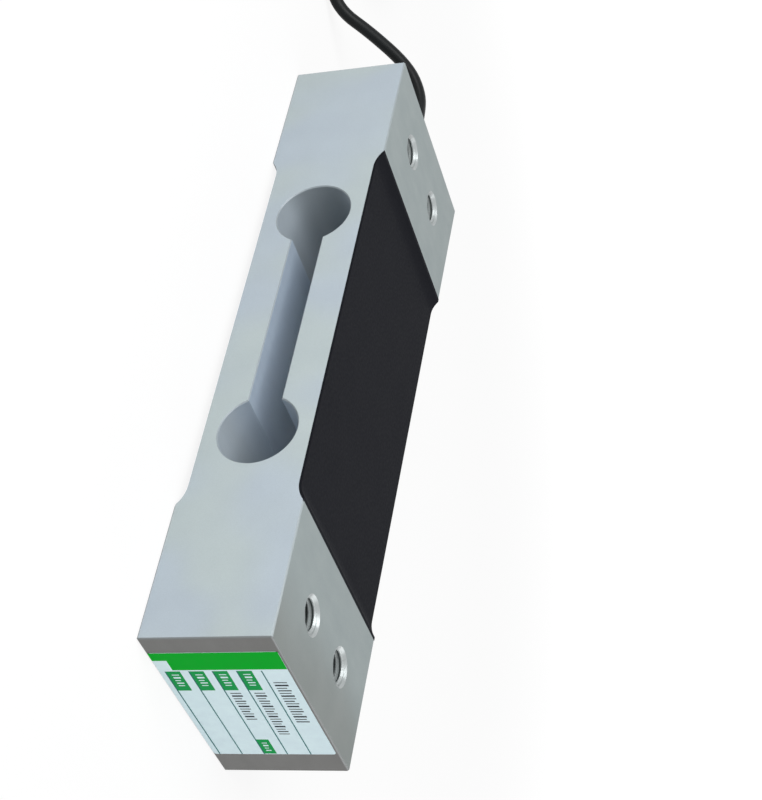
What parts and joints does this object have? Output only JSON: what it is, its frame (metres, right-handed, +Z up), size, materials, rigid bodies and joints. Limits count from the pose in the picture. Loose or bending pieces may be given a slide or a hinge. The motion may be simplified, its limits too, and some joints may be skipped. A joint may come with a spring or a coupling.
{
  "type": "single point load cell",
  "caption": "Flat aluminium binocular beam load cell with sealed gauge recesses, tapped mounting pads at both ends and a thin signal cable.",
  "frame": {"origin": "bottom centre of the beam, on the plane of its bottom mounting pads", "axes": "+X along the beam to the labelled load end, the cable leaves at -X; +Z up to the top mounting pads; Y across, along the binocular bores"},
  "size_m": [0.2163, 0.0562, 0.022],
  "materials": {
    "beam_aluminium": "fine milled, satin, clear anodised",
    "black_sealant": "matte black sealing compound",
    "gauge_film": "amber film with etched foil",
    "board_laminate": "green laminate with tinned pads",
    "resistor_ceramic": "black film resistor",
    "tinned_copper": "tinned copper wire",
    "cable_jacket": "satin black PVC jacket",
    "potting": "black silicone potting",
    "tie_nylon": "black nylon",
    "shrink_sleeve": "black shrink tubing",
    "core_red": "red insulation, tinned tip",
    "core_black": "black insulation, tinned tip",
    "core_green": "green insulation, tinned tip",
    "core_white": "white insulation, tinned tip",
    "label_film": "white film label with green fields"
  },
  "bodies": {
    "root": {"beam_body": "beam_aluminium", "top_sealant": "black_sealant", "bottom_sealant": "black_sealant", "gauge_top_cable_end": "gauge_film", "gauge_top_load_end": "gauge_film", "gauge_bottom_cable_end": "gauge_film", "gauge_bottom_load_end": "gauge_film", "terminal_board_top": "board_laminate", "terminal_board_bottom": "board_laminate", "zero_trim_resistor": "resistor_ceramic", "span_trim_resistor": "resistor_ceramic", "bridge_wires_top": "tinned_copper", "bridge_wires_bottom": "tinned_copper", "cross_wires": "tinned_copper", "inner_leads": "tinned_copper", "cable_in_gallery": "cable_jacket", "cable_seal": "potting", "cable_run": "cable_jacket", "cable_coil": "cable_jacket", "cable_tail": "cable_jacket", "coil_tie": "tie_nylon", "end_sleeve": "shrink_sleeve", "core_red": "core_red", "core_black": "core_black", "core_green": "core_green", "core_white": "core_white", "shield_wire": "tinned_copper", "label": "label_film"}
  },
  "joints": []
}
